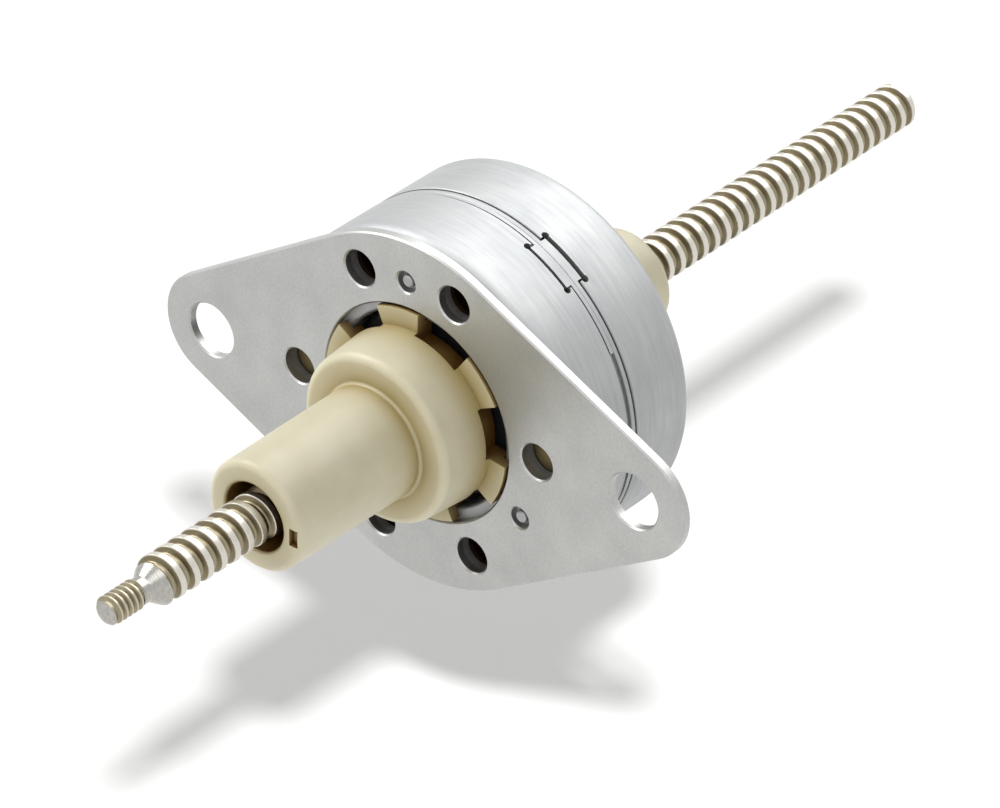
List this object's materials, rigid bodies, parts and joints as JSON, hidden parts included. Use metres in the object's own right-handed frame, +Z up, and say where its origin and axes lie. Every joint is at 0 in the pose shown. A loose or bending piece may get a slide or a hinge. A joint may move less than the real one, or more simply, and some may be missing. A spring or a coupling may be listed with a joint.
{
  "type": "linear actuator stepper motor",
  "caption": "Tin-can linear stepper motor with a two-hole oval flange, a moulded guide sleeve and a long lead screw that slides through its turning rotor nut.",
  "frame": {"origin": "centre of the mounting flange's front face, on the motor axis, midway between the two mounting holes", "axes": "+Y along the motor axis towards the back of the motor, so the screw's threaded tip points to -Y; +X through the two mounting holes, away from the lead outlet; +Z up, square to both"},
  "size_m": [0.0622, 0.1119, 0.0358],
  "materials": {
    "flange_steel": "matte zinc plate",
    "cup_steel": "satin tin plate",
    "sleeve_plastic": "moulded, satin",
    "bobbin_plastic": "moulded, satin",
    "outlet_plastic": "moulded, matte",
    "coil_wire": "enamelled copper winding",
    "pin_metal": "tin plated",
    "bearing_steel": "ground and polished",
    "cage_plastic": "moulded, matte",
    "spring_steel": "rolled strip",
    "magnet_ferrite": "sintered ferrite",
    "hub_plastic": "moulded, matte",
    "nut_bronze": "machined bronze",
    "screw_steel": "rolled stainless steel"
  },
  "bodies": {
    "stator": {"mounting_flange": "flange_steel", "front_cup": "cup_steel", "rear_cup": "cup_steel", "front_pole_plate": "cup_steel", "rear_pole_plate": "cup_steel", "front_bobbin": "bobbin_plastic", "rear_bobbin": "bobbin_plastic", "front_coil": "coil_wire", "rear_coil": "coil_wire", "terminal_pins": "pin_metal", "lead_outlet": "outlet_plastic", "guide_sleeve": "sleeve_plastic", "rear_sleeve": "sleeve_plastic", "preload_spring": "spring_steel", "front_bearing_outer_ring": "bearing_steel", "rear_bearing_outer_ring": "bearing_steel"},
    "rotor": {"rotor_magnet": "magnet_ferrite", "rotor_hub": "hub_plastic", "drive_nut": "nut_bronze", "front_bearing_inner_ring": "bearing_steel", "rear_bearing_inner_ring": "bearing_steel"},
    "front_ball_set": {"front_bearing_balls": "bearing_steel", "front_bearing_cage": "cage_plastic"},
    "rear_ball_set": {"rear_bearing_balls": "bearing_steel", "rear_bearing_cage": "cage_plastic"},
    "screw": {"lead_screw": "screw_steel"}
  },
  "joints": [
    {"name": "rotor_turn", "type": "hinge", "parent": "stator", "child": "rotor", "pos_m": [0, 0.0091, 0], "axis": [0, 1, 0], "range_deg": [-2540, 8470]},
    {"name": "screw_travel", "type": "slide", "parent": "stator", "child": "screw", "axis": [0, -1, 0], "range_m": [-0.012, 0.04]},
    {"name": "front_balls_turn", "type": "hinge", "parent": "stator", "child": "front_ball_set", "pos_m": [0, -0.00165, 0], "axis": [0, 1, 0], "range_deg": [-1030, 3430]},
    {"name": "rear_balls_turn", "type": "hinge", "parent": "stator", "child": "rear_ball_set", "pos_m": [0, 0.01985, 0], "axis": [0, 1, 0], "range_deg": [-1030, 3430]}
  ],
  "couplings": [
    {"joint": "screw_travel", "follows": "rotor_turn", "m_per_rad": 0.00027056},
    {"joint": "front_balls_turn", "follows": "rotor_turn", "ratio": 0.40476},
    {"joint": "rear_balls_turn", "follows": "rotor_turn", "ratio": 0.40476}
  ]
}
